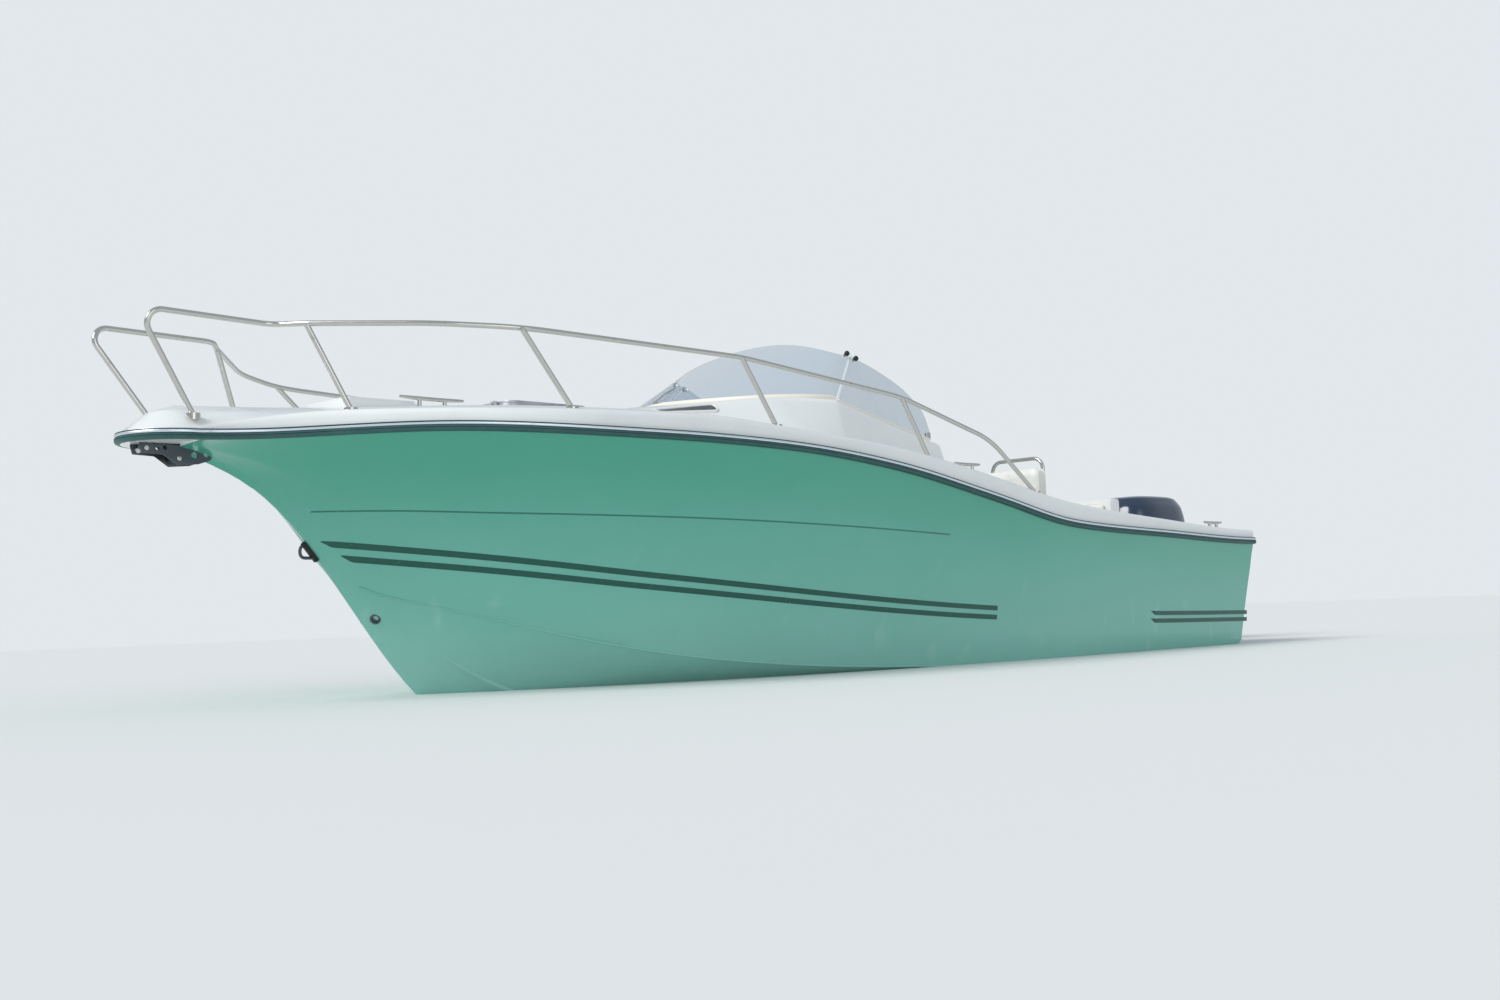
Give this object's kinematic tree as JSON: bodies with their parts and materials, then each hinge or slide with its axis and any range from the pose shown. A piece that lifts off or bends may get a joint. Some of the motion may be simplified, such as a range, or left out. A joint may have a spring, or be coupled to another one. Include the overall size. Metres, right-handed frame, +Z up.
{
  "type": "cuddy cabin speedboat with an outboard engine",
  "caption": "Speedboat with a flared deep-vee hull, cuddy cabin, wraparound windscreen, bow rails, open cockpit and an outboard engine that tilts and steers.",
  "frame": {"origin": "on the centreline at the waterline, 3.0 m ahead of the transom's top", "axes": "+X forward to the bow, +Y to port, +Z up"},
  "size_m": [8.477, 2.6, 2.695],
  "materials": {
    "hull_gelcoat": "glossy",
    "deck_gelcoat": "glossy",
    "sole_gelcoat": "moulded non-skid",
    "rub_rail_rubber": "satin",
    "stainless_tube": "polished",
    "chrome_rim": "polished",
    "tinted_acrylic": "smoke tint",
    "hatch_acrylic": "smoke tint",
    "door_acrylic": "smoke tint",
    "hatch_aluminium": "anodised",
    "black_trim": "satin",
    "wheel_grip": "soft grip",
    "white_vinyl": "upholstery vinyl",
    "berth_fabric": "woven",
    "engine_paint": "satin",
    "cowl_paint": "glossy",
    "cast_block": "cast",
    "propeller_steel": "polished",
    "black_rubber": "satin"
  },
  "bodies": {
    "boat": {"bench_backrest": "white_vinyl", "bench_base": "deck_gelcoat", "bench_cushion": "white_vinyl", "berth_cushion": "berth_fabric", "bow_eye": "stainless_tube", "bow_rail_port": "stainless_tube", "bow_rail_starboard": "stainless_tube", "cabin_top": "deck_gelcoat", "clamp_bracket": "engine_paint", "cleats": "stainless_tube", "cockpit_sole": "sole_gelcoat", "door_hinges": "stainless_tube", "foredeck": "deck_gelcoat", "hatch_frame": "hatch_aluminium", "helm_console": "deck_gelcoat", "helm_seat": "white_vinyl", "helm_shaft": "black_trim", "hull_aft": "hull_gelcoat", "hull_bow": "hull_gelcoat", "hull_cabin": "hull_gelcoat", "ladder_fixed": "stainless_tube", "locker_frame": "deck_gelcoat", "navigator_seat": "white_vinyl", "port_console": "deck_gelcoat", "portlight_panes": "tinted_acrylic", "portlight_rims": "chrome_rim", "rod_holders": "stainless_tube", "roller_bracket": "stainless_tube", "rub_rail": "rub_rail_rubber", "scupper_flaps": "black_rubber", "seat_bases": "deck_gelcoat", "seat_handles": "stainless_tube", "side_deck_port": "deck_gelcoat", "side_deck_starboard": "deck_gelcoat", "stern_coaming": "deck_gelcoat", "throttle_control": "black_trim", "windscreen_front": "tinted_acrylic", "windscreen_side_port": "tinted_acrylic", "windscreen_side_starboard": "tinted_acrylic", "windscreen_strips": "black_trim"},
    "swivel": {"swivel_bracket": "engine_paint"},
    "engine": {"engine_cowl": "cowl_paint", "engine_block": "cast_block", "engine_leg": "engine_paint"},
    "propeller": {"propeller": "propeller_steel"},
    "wheel": {"steering_wheel": "wheel_grip"},
    "hatch_lid": {"foredeck_hatch": "hatch_acrylic"},
    "locker_cover": {"locker_lid": "deck_gelcoat"},
    "door": {"cabin_door": "door_acrylic"},
    "ladder_lower": {"ladder_fold": "stainless_tube"},
    "roller_aft": {"anchor_roller_aft": "black_rubber"},
    "roller_front": {"anchor_roller_front": "stainless_tube"}
  },
  "joints": [
    {"name": "outboard_tilt", "type": "hinge", "parent": "boat", "child": "swivel", "pos_m": [-2.97, 0, 0.3], "axis": [0, 1, 0], "range_deg": [0, 65]},
    {"name": "outboard_steer", "type": "hinge", "parent": "swivel", "child": "engine", "pos_m": [-3.17, 0, 0.15], "axis": [0, 0, 1], "range_deg": [-30, 30]},
    {"name": "propeller_spin", "type": "hinge", "parent": "engine", "child": "propeller", "pos_m": [-3.715, 0, -0.62], "axis": [1, 0, 0], "continuous": true},
    {"name": "steering_wheel_turn", "type": "hinge", "parent": "boat", "child": "wheel", "pos_m": [-0.05587, -0.56, 1.13761], "axis": [-0.8654, 0, 0.501], "range_deg": [-540, 540]},
    {"name": "foredeck_hatch_hinge", "type": "hinge", "parent": "boat", "child": "hatch_lid", "pos_m": [2.651, 0, 1.43], "axis": [0, 1, 0], "range_deg": [0, 80]},
    {"name": "locker_lid_hinge", "type": "hinge", "parent": "boat", "child": "locker_cover", "pos_m": [3.124, 0, 1.395], "axis": [0, -1, 0], "range_deg": [0, 95]},
    {"name": "cabin_door_hinge", "type": "hinge", "parent": "boat", "child": "door", "pos_m": [0.262, 0.31, 0.7], "axis": [0, 0, -1], "range_deg": [0, 90]},
    {"name": "ladder_hinge", "type": "hinge", "parent": "boat", "child": "ladder_lower", "pos_m": [-2.99123, -0.86, 0.16], "axis": [0, -1, 0], "range_deg": [0, 165]},
    {"name": "anchor_roller_aft_spin", "type": "hinge", "parent": "boat", "child": "roller_aft", "pos_m": [4.256, 0, 1.092], "axis": [0, 1, 0], "continuous": true},
    {"name": "anchor_roller_front_spin", "type": "hinge", "parent": "boat", "child": "roller_front", "pos_m": [4.402, 0, 1.131], "axis": [0, 1, 0], "continuous": true}
  ],
  "couplings": [
    {"joint": "steering_wheel_turn", "follows": "outboard_steer", "ratio": -18}
  ]
}
